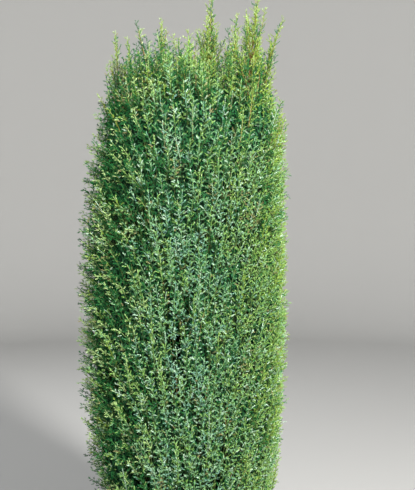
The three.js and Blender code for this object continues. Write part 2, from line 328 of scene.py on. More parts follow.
# From 0 to 1 round to the left side
def leftOf(angle, zone="whole"):
    return smooth(*leftSide[zone], -np.cos(angle))


# From 0 to 1 where the left side turns to the front
def frontLeft(points):
    angle = angleOf(points)
    return leftOf(angle, "front") * smooth(*leftSide["turnsFront"], -np.sin(angle))


# How far in from the outline each point lies
def depthOf(points):
    height = points[:, 2]
    return reachAt(height) - np.hypot(points[:, 0] - middleAt(height), points[:, 1])


def trunkCentre(height):
    height = np.asarray(height, float)
    share = height / trunk["top"]
    wander = trunk["wander"]
    lean = trunk["lean"] * share ** trunk["leanCurve"]
    across = lean + wander * np.sin(share * trunk["acrossBends"])
    deep = wander * np.sin(share * trunk["deepBends"]) - trunk["forward"] * share
    return np.stack([across, deep, height], axis=-1)


def tierPlumes(tier):
    made = []
    for i in range(tierAxis["count"]):
        angle = 2 * math.pi * (i + tier["turn"]) / tierAxis["count"]
        foot = onCircle(tierAxis["footShare"] * reachAt(tier["foot"]), angle, tier["foot"])
        tip = onCircle(tierAxis["tipShare"] * reachAt(tier["tip"]), angle, tier["tip"])
        bend = (foot + tip) / 2 + onCircle(tierAxis["bow"], angle, 0)
        plume = {"name": f"{tier['name']}_{i + 1}", "tier": tier["name"], "line": (foot, bend, tip)}
        made.append({**plume, "twigs": tier["twigs"], "rises": tier["rises"], "spireTip": 0})
    return made


def leaderPlume(name):
    across, deep, height, arch = leaders[name]
    tip = np.array([across, deep, height])
    angle = math.atan2(deep, across)
    footHeight = leaderAxis["foot"]
    foot = onCircle(leaderAxis["footShare"] * reachAt(footHeight), angle, footHeight)
    if name == leaderAxis["inner"]:
        foot = tip * [leaderAxis["innerAcross"], leaderAxis["innerDeep"], 1]
        foot[2] = leaderAxis["innerFoot"]
    if name == leaderAxis["onTrunk"]:
        foot = trunkCentre(trunk["top"])
        foot[2] = leaderAxis["middleFoot"]
    isInner = name in (leaderAxis["inner"], leaderAxis["onTrunk"])
    bend = lerp(foot, tip, leaderAxis["bend"]) - onCircle(arch, angle, 0)
    plume = {"name": f"leader_{name}", "tier": "leader", "line": (foot, bend, tip)}
    twigs = leaderAxis["innerTwigs" if isInner else "twigs"]
    return {**plume, "twigs": twigs, "rises": leaderAxis["rises"], "spireTip": height}


def pointOn(line, share):
    share = np.asarray(share, float)[..., None]
    foot, bend, tip = line
    return (1 - share) ** 2 * foot + 2 * share * (1 - share) * bend + share**2 * tip


# How fast a plume's axis runs on, per share of it
def runOf(line, share):
    share = np.asarray(share, float)[..., None]
    foot, bend, tip = line
    return 2 * ((1 - share) * (bend - foot) + share * (tip - bend))


chainPoints = {"plume": 9, "trunk": 13}
plumes = [plume for tier in tiers for plume in tierPlumes(tier)]
plumes += [leaderPlume(name) for name in leaders]
chainShares = np.linspace(0, 1, chainPoints["plume"])
chains = np.stack([pointOn(plume["line"], chainShares) for plume in plumes])
trunkChain = trunkCentre(np.linspace(0, trunk["top"], chainPoints["trunk"]))[None]
spireTips = np.array([plume["spireTip"] for plume in plumes])


# Nearest distance from each point to each chain of straight pieces
def distanceTo(points, chainSet):
    start, along = chainSet[:, :-1], np.diff(chainSet, axis=1)
    away = points[:, None, None, :] - start[None]
    share = np.clip((away * along).sum(-1) / (along**2).sum(-1), 0, 1)
    return np.linalg.norm(away - share[..., None] * along, axis=-1).min(-1)


# How far from its own axis a leader's needles may reach; the other plumes have no such bound
def spanOf(own, height):
    tip = spireTips[own]
    left = np.maximum(tip - height, 0) / np.maximum(tip - crown["spireStart"], 0.01)
    spireSpan = leaderAxis["spireReach"] * left ** leaderAxis["spireCurve"]
    below = leaderAxis["spireReach"] + (crown["spireStart"] - height) * leaderAxis["spread"]
    span = np.where(height < crown["spireStart"], below, spireSpan)
    return np.where(tip > 0, span, np.inf)


def hasRoom(points, own, depth, overlap):
    height = points[:, 2]
    room = height > crown["foot"] + depth / 3
    room &= (depthOf(points) > depth) | (height >= crown["spireStart"])
    toPlumes = distanceTo(points, chains)
    nearest = toPlumes[np.arange(len(own)), own]
    room &= nearest < spanOf(own, height)
    toPlumes[np.arange(len(own)), own] = np.inf
    room &= toPlumes.min(-1) - nearest > -overlap
    return room & (distanceTo(points, trunkChain)[:, 0] > trunk["hollow"])


def march(starts, directions, own, depth, overlap, step=0.005, farthest=0.5):
    reached = np.zeros(len(starts))
    going = np.arange(len(starts))
    while len(going) and reached[going].max() < farthest:
        ahead = starts[going] + directions[going] * (reached[going] + step)[:, None]
        going = going[hasRoom(ahead, own[going], depth, overlap)]
        reached[going] += step
    return reached


# Upright strands round the column, from about -1 to 1
def strands(points):
    angle = angleOf(points)
    height = points[:, 2]
    sway = np.sin(strand["sway"] * height)
    waves = [
        weight * np.sin(count * angle + slant * height + swing * sway + start)
        for count, slant, start, swing, weight in strand["waves"]
    ]
    return sum(waves) / strand["whole"]


# Rows of shoots that lean to the left on the left side, from -1 to 1
def rows(points):
    height = points[:, 2]
    turn = rowWave["count"] * angleOf(points) + rowWave["slant"] * height
    return frontLeft(points) * np.sin(turn + np.sin(rowWave["waver"] * height))


# Twigs by the source's rule: evenly up each plume's axis and across its open side to the outline
def ruleTwigs():
    parts = {"target": [], "own": []}
    for own, plume in enumerate(plumes):
        rng = drawsFor("rule", own)
        order = np.arange(plume["twigs"])
        along = (order + 0.5) / plume["twigs"]
        start = pointOn(plume["line"], along)
        fan = np.arctan((2 * (order * goldenShare % 1) - 1) * shell["fanWidth"])
        heading = angleOf(start) + fan
        low, high = np.radians(plume["rises"])
        jitter = shell["riseJitter"]
        rise = lerp(low, high, along) + np.radians(rng.uniform(-jitter, jitter, len(order)))
        direction = onCircle(np.cos(rise), heading, np.sin(rise))
        owner = np.full(len(order), own)
        reached = march(start, direction, owner, shell["skin"], shell["overlap"])
        target = start + direction * reached[:, None]
        seen = (depthOf(target) < shell["hidden"]) & (target[:, 2] < shell["top"])
        parts["target"].append(target[seen])
        parts["own"].append(owner[seen])
    return {key: np.concatenate(value) for key, value in parts.items()}


# The spots that stand clear of each other and of what is there already
def clearSpots(spots, taken, apart):
    kept = []
    room = np.concatenate([taken, np.zeros((len(spots), 3))])
    count = len(taken)
    for spot in spots:
        if not count or np.min(np.sum((room[:count] - spot) ** 2, axis=1)) > apart**2:
            room[count] = spot
            count += 1
            kept.append(spot)
    return np.array(kept)


# Where on its plume's axis a twig at that plume's rise starts, to reach each point
def startsFor(points, own, steps=33):
    shares = np.linspace(0, 1, steps)
    start = np.zeros_like(points)
    for index, plume in enumerate(plumes):
        mine = own == index
        away = points[mine][:, None] - pointOn(plume["line"], shares)[None]
        rise = np.arctan2(away[..., 2], np.hypot(away[..., 0], away[..., 1]))
        wanted = lerp(*np.radians(plume["rises"]), shares)
        best = np.abs(rise - wanted).argmin(-1)
        start[mine] = pointOn(plume["line"], shares[best])
    return start


def twigsTo(spots):
    return {"target": spots, "own": distanceTo(spots, chains).argmin(-1)}


# Spots round the crown's middle by the golden angle
def spotsRound(radius, order, height):
    spots = onCircle(radius, order * goldenAngle, height)
    spots[:, 0] += middleAt(height)
    return spots


# Spots spread evenly over the outline, at some depth in it
def outlineSpots(count, depth):
    rng = drawsFor("outline")
    order = rng.permutation(count)
    height = lerp(crown["foot"] + shell["footGap"], shell["top"], (order + 0.5) / count)
    edge = smooth(shell["top"] - shell["raggedBelow"], shell["top"], height)
    height += rng.normal(0, shell["ragged"], count) * edge
    rounded = shell["rounding"] * smooth(*shell["shoulder"], height)
    return spotsRound(reachAt(height) - depth - rounded, order, height)


def streakSpots():
    order = np.arange(streak["count"])
    share = drawsFor("streaks").permutation(order + 0.5) / len(order)
    height = lerp(*streak["heights"], share ** streak["towardsTop"])
    return spotsRound(reachAt(height), order, height)


# The height of the dome over each point, which is higher near a leader's axis than between two
def domeOver(points):
    height = dome["height"]
    rim = dome["reachShare"] * reachAt(height)
    out = np.hypot(points[:, 0] - middleAt(height), points[:, 1]) / rim
    near = distanceTo(points, chains[spireTips > 0]).min(-1)
    return height - dome["fall"] * out**4 + dome["rise"] * np.exp(-((near / dome["near"]) ** 2))


# Upright spots over the dome
def domeSpots():
    rng = drawsFor("dome")
    order = np.arange(dome["spots"])
    radius = dome["reachShare"] * reachAt(dome["height"]) * np.sqrt((order + 0.5) / dome["spots"])
    spots = spotsRound(radius, order, dome["height"])
    above = np.minimum(rng.exponential(dome["ragged"], len(spots)), dome["raggedMost"])
    spots[:, 2] = domeOver(spots) + above - dome["ragged"]
    return spots


# The shoot that ends at each twig's target, steep at its root and nodding at its tip
def endIn(twigs, kind, rng, steep=0.0):
    target = twigs["target"]
    count = len(target)
    outward = np.arctan2(target[:, 1], target[:, 0] - middleAt(target[:, 2]))
    length = lerp(*shoot["length"], rng.random(count))
    steep = np.maximum(steep, smooth(*shoot["steepZone"], target[:, 2]) * shoot["steepShare"])
    top = math.radians(shoot["steepRise"])
    lower = shoot["leftLean"] * leftOf(outward, "lean")
    riseAtRoot = np.radians(lerp(*shoot["riseAtRoot"], rng.random(count)) - lower / 3)
    riseAtTip = np.radians(lerp(*shoot["riseAtTip"], rng.random(count)) - lower)
    flat = 1 - smooth(*shoot["footZone"], target[:, 2])
    riseAtRoot = lerp(lerp(riseAtRoot, top, steep), math.radians(shoot["footRises"][0]), flat)
    riseAtTip = lerp(lerp(riseAtTip, top, steep), math.radians(shoot["footRises"][1]), flat)
    mayStray = (kind == shellKind) & (steep < shoot["strayLimit"])
    isStray = (rng.random(count) < shoot["strays"]) & mayStray
    strayRise = np.radians(lerp(*shoot["strayRise"], rng.random(count)))
    riseAtTip = np.where(isStray, strayRise, riseAtTip)
    sideways = shoot["sideways"] * rng.uniform(-1, 1, count)
    first = onCircle(np.cos(riseAtRoot), outward + sideways, np.sin(riseAtRoot))
    last = onCircle(np.cos(riseAtTip), outward - sideways, np.sin(riseAtTip))
    relief = strands(target) + shell["rowRelief"] * rows(target) - shell["reliefMiddle"]
    sunk = np.where(kind == shellKind, -shell["relief"] * relief, 0)
    sunk = np.where(isStray, -shoot["strayOut"] * rng.uniform(*shoot["strayShare"], count), sunk)
    root = target - (first + last) / 2 * length[:, None] - onCircle(sunk * (1 - steep), outward, 0)
    root[:, 2] += np.maximum(crown["foot"] + shoot["footGap"] - root[:, 2], 0)
    start = startsFor(root, twigs["own"])
    made = {"start": start, "own": twigs["own"], "root": root, "first": first, "last": last}
    return {**made, "length": length, "kind": np.full(count, kind)}


# Where on its axis a plume passes each height
def shareAt(plume, height):
    shares = np.linspace(0, 1, 400)
    return np.interp(height, pointOn(plume["line"], shares)[:, 2], shares)


# Shoots that leave a leader's axis, with their rises and headings at their roots and tips
def leave(own, kind, roots, rises, headings, length):
    first, last = (
        onCircle(np.cos(rise), heading, np.sin(rise)) for rise, heading in zip(rises, headings)
    )
    made = {"start": roots, "root": roots, "first": first, "last": last, "length": length}
    return {**made, "kind": np.full(len(length), kind), "own": np.full(len(length), own)}


# Smaller leads that leave a leader below its tip and turn up beside it
def growForks(own, plume, rng):
    seen = np.array(spire["seenForks"].get(plume["name"], ())).reshape(-1, 3)
    order = np.arange(spire["forks"])
    drops = lerp(*spire["forkBelow"], (order + rng.random(len(order))) / len(order))
    below = np.concatenate([drops, seen[:, 0]])
    count = len(below)
    isSeen = np.arange(count) >= len(order)
    heading = np.arange(count) * goldenAngle + spire["forkTurn"] * own
    heading[isSeen] = np.radians(seen[:, 1])
    chance = rng.random((2, count))
    chance[:, isSeen] = spire["seenRise"]
    rises = [np.radians(lerp(*bounds, each)) for bounds, each in zip(spire["forkRises"], chance)]
    share = lerp(*spire["forkShare"], rng.random(count))
    share[isSeen] = seen[:, 2]
    roots = pointOn(plume["line"], shareAt(plume, plume["spireTip"] - below))
    return leave(own, leadKind, roots, rises, (heading, heading), below * share)


# A leader's free top
def growSpire(own, plume, rng):
    line, top = plume["line"], plume["spireTip"]
    leadShare = shareAt(plume, top - spire["leadLength"])
    root = pointOn(line, leadShare)
    length = np.linalg.norm(line[2] - root)
    lead = {
        "start": root[None],
        "root": root[None],
        "first": (runOf(line, leadShare) * (1 - leadShare) / length)[None],
        "last": (runOf(line, 1.0) * (1 - leadShare) / length)[None],
        "length": np.array([length]),
        "kind": np.array([leadKind]),
        "own": np.array([own]),
    }
    count = int((top - spire["bareTop"] - spire["foot"]) / spire["spacing"])
    order = np.arange(count)
    height = spire["foot"] + (order + 0.5) * spire["spacing"]
    roots = pointOn(line, shareAt(plume, height))
    size = lerp(*spire["length"], smooth(*spire["slim"], top - height))
    size *= rng.uniform(*spire["lengthJitter"], count)
    jitter, tipJitter = spire["turnJitter"], spire["tipTurnJitter"]
    heading = order * goldenAngle + own + rng.uniform(-jitter, jitter, count)
    low = np.radians(lerp(*spire["riseAtRoot"], rng.random(count)))
    high = np.radians(lerp(*spire["riseAtTip"], rng.random(count)))
    tipHeading = heading + rng.uniform(-tipJitter, tipJitter, count)
    sides = leave(own, sideKind, roots, (low, high), (heading, tipHeading), size)
    forks = growForks(own, plume, rng)
    return {key: np.concatenate([lead[key], sides[key], forks[key]]) for key in lead}


def growShoots():
    rng = drawsFor("shoots")
    rule = ruleTwigs()
    none = np.zeros((0, 3))
    filled = clearSpots(outlineSpots(shell["spots"], shell["skin"]), rule["target"], shell["apart"])
    under = outlineSpots(shell["underSpots"], shell["underDepth"])
    under = clearSpots(under, none, shell["underApart"])
    upright = clearSpots(domeSpots(), none, shell["apart"] * dome["apart"])
    counts = [len(each) for each in (rule["own"], filled, under, upright)]
    print("shoots by the rule, finer, under and on the dome:", *counts)
    streaks = streakSpots()
    streakSteep = streak["steep"] * (1 - streak["leftLean"] * leftOf(angleOf(streaks)))
    sets = [
        endIn(rule, shellKind, rng),
        endIn(twigsTo(filled), shellKind, rng),
        endIn(twigsTo(under), underKind, rng),
        endIn(twigsTo(upright), shellKind, rng, steep=1.0),
        endIn(twigsTo(streaks), leadKind, rng, streakSteep),
    ]
    sets += [growSpire(own, plume, rng) for own, plume in enumerate(plumes) if plume["spireTip"]]
    return {key: np.concatenate([each[key] for each in sets]) for key in sets[0]}


def pathPoint(path, share):
    share = share[..., None]
    turned = share**2 / 2 * (path["last"] - path["first"])
    return path["root"] + path["length"][..., None] * (share * path["first"] + turned)


def pathHeading(path, share):
    return unit(lerp(path["first"], path["last"], share[..., None]))


# Two directions square to each heading
def sidesOf(heading):
    across = unit(np.cross(heading, nearlyUp))
    return across, np.cross(heading, across)


# Which stem each of its offspring stands on, and its number on it
def dealOut(counts):
    parent = np.repeat(np.arange(len(counts)), counts)
    return parent, np.arange(counts.sum()) - np.repeat(np.cumsum(counts) - counts, counts)


# Branchlets stand round each shoot by the golden angle, long at its root and short at its tip
def growBranchlets(shoots, rng):
    kind = shoots["kind"]
    foot, end = np.array(branchlet["first"])[kind], np.array(branchlet["last"])[kind]
    spacing = np.array(branchlet["spacing"])[kind]
    counts = np.maximum((shoots["length"] * (end - foot) / spacing).astype(int), 1)
    parent, order = dealOut(counts)
    share = lerp(foot[parent], end[parent], (order + 0.5) / counts[parent])
    path = {key: shoots[key][parent] for key in ("root", "first", "last", "length")}
    heading = pathHeading(path, share)
    across, other = sidesOf(heading)
    jitter = branchlet["turnJitter"]
    turn = order * goldenAngle + parent * branchlet["turn"]
    turn = turn + rng.uniform(-jitter, jitter, len(parent))
    outward = across * np.cos(turn)[:, None] + other * np.sin(turn)[:, None]
    leans = np.array(branchlet["lean"])[kind[parent]]
    lean = np.radians(lerp(leans[:, 0], leans[:, 1], rng.random(len(parent))))[:, None]
    first = heading * np.cos(lean) + outward * np.sin(lean)
    lengths = np.array(branchlet["length"])[kind[parent]]
    length = lerp(lengths[:, 0], lengths[:, 1], rng.random(len(parent)))
    length *= 1 - branchlet["taper"] * share
    left = leftOf(angleOf(shoots["root"]))[parent]
    length *= 1 - branchlet["leftShorter"] * left
    away = unit(np.concatenate([first[:, :2], np.zeros((len(first), 1))], axis=1))
    nod = (branchlet["nod"][0] + branchlet["nod"][1] * left)[:, None]
    nod = nod * rng.uniform(*branchlet["nodSpread"], (len(first), 1))
    nod = nod * (kind[parent] < sideKind)[:, None]
    last = unit(first + heading * branchlet["ahead"] + away * nod)
    made = {"root": pathPoint(path, share), "first": first, "last": last}
    made["length"] = np.maximum(length, branchlet["shortest"])
    return {**made, "parent": parent, "share": share, "kind": kind[parent]}


# Needles in whorls of three, each whorl turned by half a step against the one below it
def growNeedles(stems, coarser, skip, rng):
    spacing = np.array(needle["whorlSpacing"])[stems["kind"]] * coarser
    usable = np.maximum(stems["length"] * (1 - skip), needle["shortestStem"])
    counts = np.maximum((usable / spacing).astype(int), 2)
    stem, order = dealOut(counts)
    share = skip[stem] + (1 - skip[stem]) * (order + needle["firstWhorl"]) / counts[stem]
    path = {key: stems[key][stem] for key in ("root", "first", "last", "length")}
    heading = pathHeading(path, share)
    centre = pathPoint(path, share)
    across, other = sidesOf(heading)
    turn = order * (math.pi / 3) + stem * needle["turn"]
    base = np.repeat(centre, 3, axis=0)
    ahead = np.repeat(heading, 3, axis=0)
    jitter = needle["turnJitter"]
    turns = (turn[:, None] + np.arange(3) * (2 * math.pi / 3)).ravel()
    turns += rng.uniform(-jitter, jitter, 3 * len(stem))
    outward = np.repeat(across, 3, axis=0) * np.cos(turns)[:, None]
    outward += np.repeat(other, 3, axis=0) * np.sin(turns)[:, None]
    shares = np.repeat(share, 3)
    tight = np.repeat(stems["kind"][stem] >= sideKind, 3)
    jitter = needle["leanJitter"]
    lean = lerp(*needle["lean"], shares) + rng.uniform(-jitter, jitter, len(base))
    lean = np.radians(lean)[:, None]
    direction = ahead * np.cos(lean) + outward * np.sin(lean)
    length = lerp(*needle["length"], rng.random(len(base)))
    length *= lerp(1.0, needle["tipLength"], shares**3)
    length *= np.where(tight, needle["tightLength"], 1)
    side = unit(np.cross(direction, ahead))
    back = np.cross(side, direction)
    middle = base + direction * (length * needle["belly"])[:, None]
    half = side * (needle["width"] / 2)
    sunk = back * (needle["width"] * needle["keel"])
    tip = base + direction * length[:, None]
    points = np.stack([base, middle + half + sunk, tip, middle - half + sunk], axis=1)
    return {"points": points, "stem": np.repeat(stem, 3), "share": shares}


# The stems that carry it all: their sizes, and how many of the shoots' are orange and brown
wood = {
    "axisRadius": 0.0080,
    "leaderAxisRadius": 0.0048,
    "axisRings": 24,
    "axisSides": 6,
    "twigRadius": 0.0026,
    "twigShortest": 0.010,
    "twigFlattest": 0.2,
    "shootRadius": 0.0017,  # of a shoot of the length below
    "shootLength": 0.150,
    "leadThicker": 1.3,
    "leadsAbove": 1.900,  # the leads above this height are orange, as the side shoots are
    "branchletRadius": 0.0009,
    "taper": 0.7,
    "orange": 0.012,
    "brown": 0.5,  # of the rest
}


# Many thin tapering stems as one set of triangles, each closed by its foot and its tip
def stemMesh(path, radius, rings, sides=3):
    shares = np.linspace(0, 1, rings + 1)
    count = len(path["length"])
    points = []
    for share in shares[:-1]:
        full = np.full(count, share)
        centre = pathPoint(path, full)
        across, other = sidesOf(pathHeading(path, full))
        size = (radius * (1 - share) ** wood["taper"])[:, None]
        for side in range(sides):
            angle = 2 * math.pi * side / sides
            points.append(centre + (across * math.cos(angle) + other * math.sin(angle)) * size)
    points.append(pathPoint(path, np.ones(count)))
    points = np.stack(points, axis=1)
    corner = np.arange(sides)
    after = (corner + 1) % sides
    faces = []
    for ring in range(rings - 1):
        low, high = ring * sides, (ring + 1) * sides
        faces += [np.stack([low + corner, low + after, high + after], axis=1)]
        faces += [np.stack([low + corner, high + after, high + corner], axis=1)]
    last = (rings - 1) * sides
    faces.append(np.stack([last + corner, last + after, np.full(sides, rings * sides)], axis=1))
    faces.append(np.stack([np.zeros(sides - 2, int), corner[2:], corner[1:-1]], axis=1))
    faces = np.concatenate(faces)
    triangles = faces[None] + (np.arange(count) * points.shape[1])[:, None, None]
    return points.reshape(-1, 3), triangles.reshape(-1, 3), len(faces)


def makePiece(name, points, triangles, slots, materials):
    mesh = bpy.data.meshes.new(name)
    mesh.vertices.add(len(points))
    mesh.vertices.foreach_set("co", points.astype(np.float32).ravel())
    mesh.loops.add(3 * len(triangles))
    mesh.loops.foreach_set("vertex_index", triangles.astype(np.int32).ravel())
    mesh.polygons.add(len(triangles))
    mesh.polygons.foreach_set("loop_start", np.arange(0, 3 * len(triangles), 3, dtype=np.int32))
    for material in materials:
        mesh.materials.append(material)
    mesh.polygons.foreach_set("material_index", slots.astype(np.int32))
    mesh.update(calc_edges=True)
    mesh.validate()
    piece = bpy.data.objects.new(name, mesh)
    bpy.context.scene.collection.objects.link(piece)
    return piece


# Plain finishes, dealt out by spray; deepTeal and shadeGreen are painted shade, and paleTip serves
# for pale new tips and for painted highlights
needleTones = {
    "deepTeal": (0.010, 0.092, 0.026),
    "shadeGreen": (0.030, 0.175, 0.050),
    "blueGreen": (0.230, 0.455, 0.360),
    "midGreen": (0.255, 0.492, 0.260),
    "freshGreen": (0.212, 0.405, 0.092),
    "yellowGreen": (0.245, 0.380, 0.042),
    "paleTip": (0.450, 0.620, 0.260),
    "paleBand": (0.500, 0.700, 0.530),
    "straw": (0.315, 0.285, 0.130),
}
stemTones = {
    "brownStem": (0.030, 0.045, 0.018),
    "orangeStem": (0.330, 0.200, 0.085),
    "greenStem": (0.110, 0.170, 0.050),
}
shadeTones = ("deepTeal", "shadeGreen")
# Roughness and specular level
sheen = {"shade": (0.85, 0.04), "light": (0.45, 0.32), "stem": (0.80, 0.10), "paper": (0.95, 0.30)}
toneNumber = {name: number for number, name in enumerate(needleTones)}
brown, orange, green = range(len(stemTones))


def plainFinish(name, colour, roughness, specular):
    material = bpy.data.materials.new(name)
    material.use_nodes = True
    shader = material.node_tree.nodes["Principled BSDF"]
    shader.inputs["Base Color"].default_value = (*colour, 1)
    shader.inputs["Roughness"].default_value = roughness
    shader.inputs["Specular IOR Level"].default_value = specular
    material.diffuse_color = (*colour, 1)
    return material


needleFinishes = [
    plainFinish(name, colour, *sheen["shade" if name in shadeTones else "light"])
    for name, colour in needleTones.items()
]
stemFinishes = [plainFinish(name, colour, *sheen["stem"]) for name, colour in stemTones.items()]

# How yellow a shoot is: most in the leaders, and yellower by painted sunlight on the right side,
# where the key lamp falls, and along the left edge as sunlit tips
yellowing = {
    "everywhere": 0.20,
    "paintedSun": 0.40,
    "sunTurn": 0.15,
    "sunNarrow": 5,
    "edge": 0.33,
    "high": 0.62,
    "highZone": (1.850, 2.400),
    "strands": 0.08,
    "chance": 0.44,
}
# Painted shade: the share of shoots in dark shade tones among the light ones, higher near the top
# and in rows on the front's left, for the shade between shoots
paintedShade = {
    "upper": 0.12,
    "upperZone": (1.400, 1.900),
    "top": 0.36,
    "topZone": (1.950, 2.250),
    "right": 0.07,
    "rightZone": (0.6, 1),
    "frontLeft": 0.50,
    "rows": 0.60,
    "lead": 0.3,  # this share of it for the leads
}
# The light tones from blue to yellow, and what moves a branchlet along them
ladder = {
    "tones": ("blueGreen", "midGreen", "freshGreen", "yellowGreen"),
    "steps": 3.4,
    "chance": 0.9,
    "towardsTip": 0.9,
    "middle": 0.6,  # where along its shoot a branchlet has its shoot's own tone
    "deepest": 0.55,  # the share of the shaded ones that is darkest
}
# Painted shade: shade tones dealt by depth, none at the crown's outline and more deep in it, and to
# much of the shoots behind
paintedDepthShade = {
    "depths": (0.030, 0.080),
    "most": 0.72,
    "along": 0.8,  # where along it a stem's depth is taken
    "under": (0.56, 0.80),  # low and high up
    "underZone": (0.900, 1.500),
}
# The shares of branchlets in other tones, with dark tones as painted shade and pale tips as painted
# highlights, and of needles that are brighter than their branchlet
dealing = {
    "pale": 0.16,
    "paleEnds": (1.950, 2.200),  # heights
    "dark": 0.85,
    "darkElsewhere": 0.10,
    "darkShaded": 0.95,
    "paintedHighlightShoots": 0.65,
    "paintedHighlight": 0.55,
    "deadShoots": 0.028,
    "strawIfDead": 0.5,
    "strawElsewhere": 0.012,
    "brightFrom": 0.72,  # the needles above this share of their stem
    "bright": (0.5, 0.2),  # the share of them, less on the right side, to offset the key lamp's light there
    "brightZone": (0.250, 0.420),  # across
    "brighter": {
        "blueGreen": "midGreen",
        "midGreen": "freshGreen",
        "freshGreen": "paleTip",
        "yellowGreen": "paleTip",
    },
}


# From 0, blue, to 1, yellow
def warmthOf(points, kind, chance):
    angle = angleOf(points)
    # Painted sunlight: yellower on the right side and along the left edge
    paintedSun = 0.5 + 0.5 * np.cos(angle + yellowing["sunTurn"])
    warmth = yellowing["everywhere"] + yellowing["paintedSun"] * paintedSun ** yellowing["sunNarrow"]
    warmth = warmth + yellowing["edge"] * leftOf(angle, "edge")
    warmth += yellowing["high"] * smooth(*yellowing["highZone"], points[:, 2])
    warmth += yellowing["strands"] * strands(points)
    warmth = np.clip(warmth + yellowing["chance"] * (chance - 0.5), 0, 1)
    return np.minimum(warmth + streak["yellower"] * (kind == leadKind), 1)


# Painted shade: how likely each shoot is to be dealt dark shade tones
def paintedShadeOf(points, kind):
    height = points[:, 2]
    right = smooth(*paintedShade["rightZone"], np.cos(angleOf(points)))
    darker = paintedShade["upper"] * smooth(*paintedShade["upperZone"], height)
    darker += paintedShade["top"] * smooth(*paintedShade["topZone"], height)
    darker += paintedShade["right"] * right
    darker = darker + frontLeft(points) * paintedShade["frontLeft"] - paintedShade["rows"] * rows(points)
    return darker * np.where(kind == leadKind, paintedShade["lead"], 1)


# Each stem's tone: a step of the ladder, or a tone dealt over it by share: pale bands, pale tips as
# painted highlights, dark and shaded tones as painted shade
def toneOf(warmth, chance, share, pale, paintedHighlight, dark, shaded):
    steps = np.array([toneNumber[name] for name in ladder["tones"]])
    step = warmth * ladder["steps"] + (chance[:, 0] - 0.5) * ladder["chance"]
    step = np.clip(step + ladder["towardsTip"] * (share - ladder["middle"]), 0, len(steps) - 1)
    tone = steps[np.floor(step + 0.5).astype(int)]
    for isDealt, name in (
        (chance[:, 1] < pale, "paleBand"),
        (chance[:, 1] > 1 - paintedHighlight, "paleTip"),
        (chance[:, 2] < dark, "shadeGreen"),
        (chance[:, 3] < shaded, "shadeGreen"),
        (chance[:, 3] < shaded * ladder["deepest"], "deepTeal"),
    ):
        tone = np.where(isDealt, toneNumber[name], tone)
    return tone


# Painted shade: each stem's share of shade tones, by how deep below the outline or the dome it lies
def shadeOf(stems):
    points = pathPoint(stems, np.full(len(stems["length"]), paintedDepthShade["along"]))
    depth = np.minimum(depthOf(points), domeOver(points) - points[:, 2])
    return paintedDepthShade["most"] * smooth(*paintedDepthShade["depths"], depth)


# A mass's shoots with their branchlets and needles, in the tones dealt out to them
def growMass(own, plume, shoots):
    rng = drawsFor("masses", own)
    mine = {key: value[shoots["own"] == own] for key, value in shoots.items()}
    kind, root = mine["kind"], mine["root"]
    branchlets = growBranchlets(mine, rng)
    bare = np.full(len(branchlets["length"]), needle["bareBranchlet"])
    onBranchlets = growNeedles(branchlets, 1.0, bare, rng)
    onShoots = growNeedles(mine, needle["shootSpacing"], np.array(needle["bareShoot"])[kind], rng)

    shootChance = rng.random((len(kind), 4))
    warmth = warmthOf(root, kind, shootChance[:, 0])
    isDead = shootChance[:, 1] < dealing["deadShoots"]
    parent = branchlets["parent"]
    chance = rng.random((len(parent), 5))
    # Painted shade: the shoots behind the shell get shade tones, more of them high up
    under = lerp(*paintedDepthShade["under"], smooth(*paintedDepthShade["underZone"], root[:, 2]))
    under = (kind == underKind) * under
    shaded = np.maximum(shadeOf(branchlets), under[parent])
    pale = dealing["pale"] * (1 - warmth) * (1 - smooth(*dealing["paleEnds"], root[:, 2]))
    # Painted shade: dark shoots, and on the front's left their branchlets get the deepest shade
    # tones
    hasPaintedShade = rng.random(len(kind)) < paintedShadeOf(root, kind)
    dark = np.where(hasPaintedShade, dealing["dark"], dealing["darkElsewhere"] * (1 - warmth))
    shaded = np.maximum(shaded, (dealing["darkShaded"] * hasPaintedShade * frontLeft(root))[parent])
    # Painted highlights: pale tips on shoots on the front's left
    hasPaintedHighlight = rng.random(len(kind)) < dealing["paintedHighlightShoots"] * frontLeft(root)
    paintedHighlight = dealing["paintedHighlight"] * hasPaintedHighlight
    dealt = [share[parent] for share in (pale, paintedHighlight, dark)]
    tone = toneOf(warmth[parent], chance, branchlets["share"], *dealt, shaded)
    straw = np.where(isDead[parent], dealing["strawIfDead"], dealing["strawElsewhere"])
    tone = np.where(chance[:, 4] < straw, toneNumber["straw"], tone)
    middle = np.full(len(kind), ladder["middle"])
    shootShaded = np.maximum(shadeOf(mine), under)
    shootTone = toneOf(warmth, shootChance, middle, pale, paintedHighlight, dark, shootShaded)

    tones = np.concatenate([tone[onBranchlets["stem"]], shootTone[onShoots["stem"]]])
    shares = np.concatenate([onBranchlets["share"], onShoots["share"]])
    points = np.concatenate([onBranchlets["points"], onShoots["points"]])
    # Brighter needle tips, fewer on the right side, where the key lamp already lights them
    bright = lerp(*dealing["bright"], smooth(*dealing["brightZone"], points[:, 0, 0]))
    isBright = (shares > dealing["brightFrom"]) & (rng.random(len(shares)) < bright)
    brighter = [toneNumber[dealing["brighter"].get(name, name)] for name in needleTones]
    tones = np.where(isBright, np.array(brighter)[tones], tones)
    first = (np.arange(len(points)) * 4)[:, None]
    triangles = np.stack([first + [0, 1, 2], first + [0, 2, 3]], axis=1).reshape(-1, 3)
    slots = np.repeat(tones, 2)
    name = f"needles_{plume['name']}"
    needles = makePiece(name, points.reshape(-1, 3), triangles, slots, needleFinishes)
    return needles, mine, branchlets, len(triangles)


# The twig that carries each shoot, from its plume's axis
def twigPaths(mine):
    twig = {"root": mine["start"], "length": np.linalg.norm(mine["root"] - mine["start"], axis=1)}
    twig["first"] = unit(mine["root"] - mine["start"])
    twig["last"] = twig["first"]
    rises = twig["first"][:, 2] > wood["twigFlattest"]
    isLow = mine["root"][:, 2] < shoot["footZone"][1]
    kept = (twig["length"] > wood["twigShortest"]) & (rises | isLow)
    return {key: value[kept] for key, value in twig.items()}


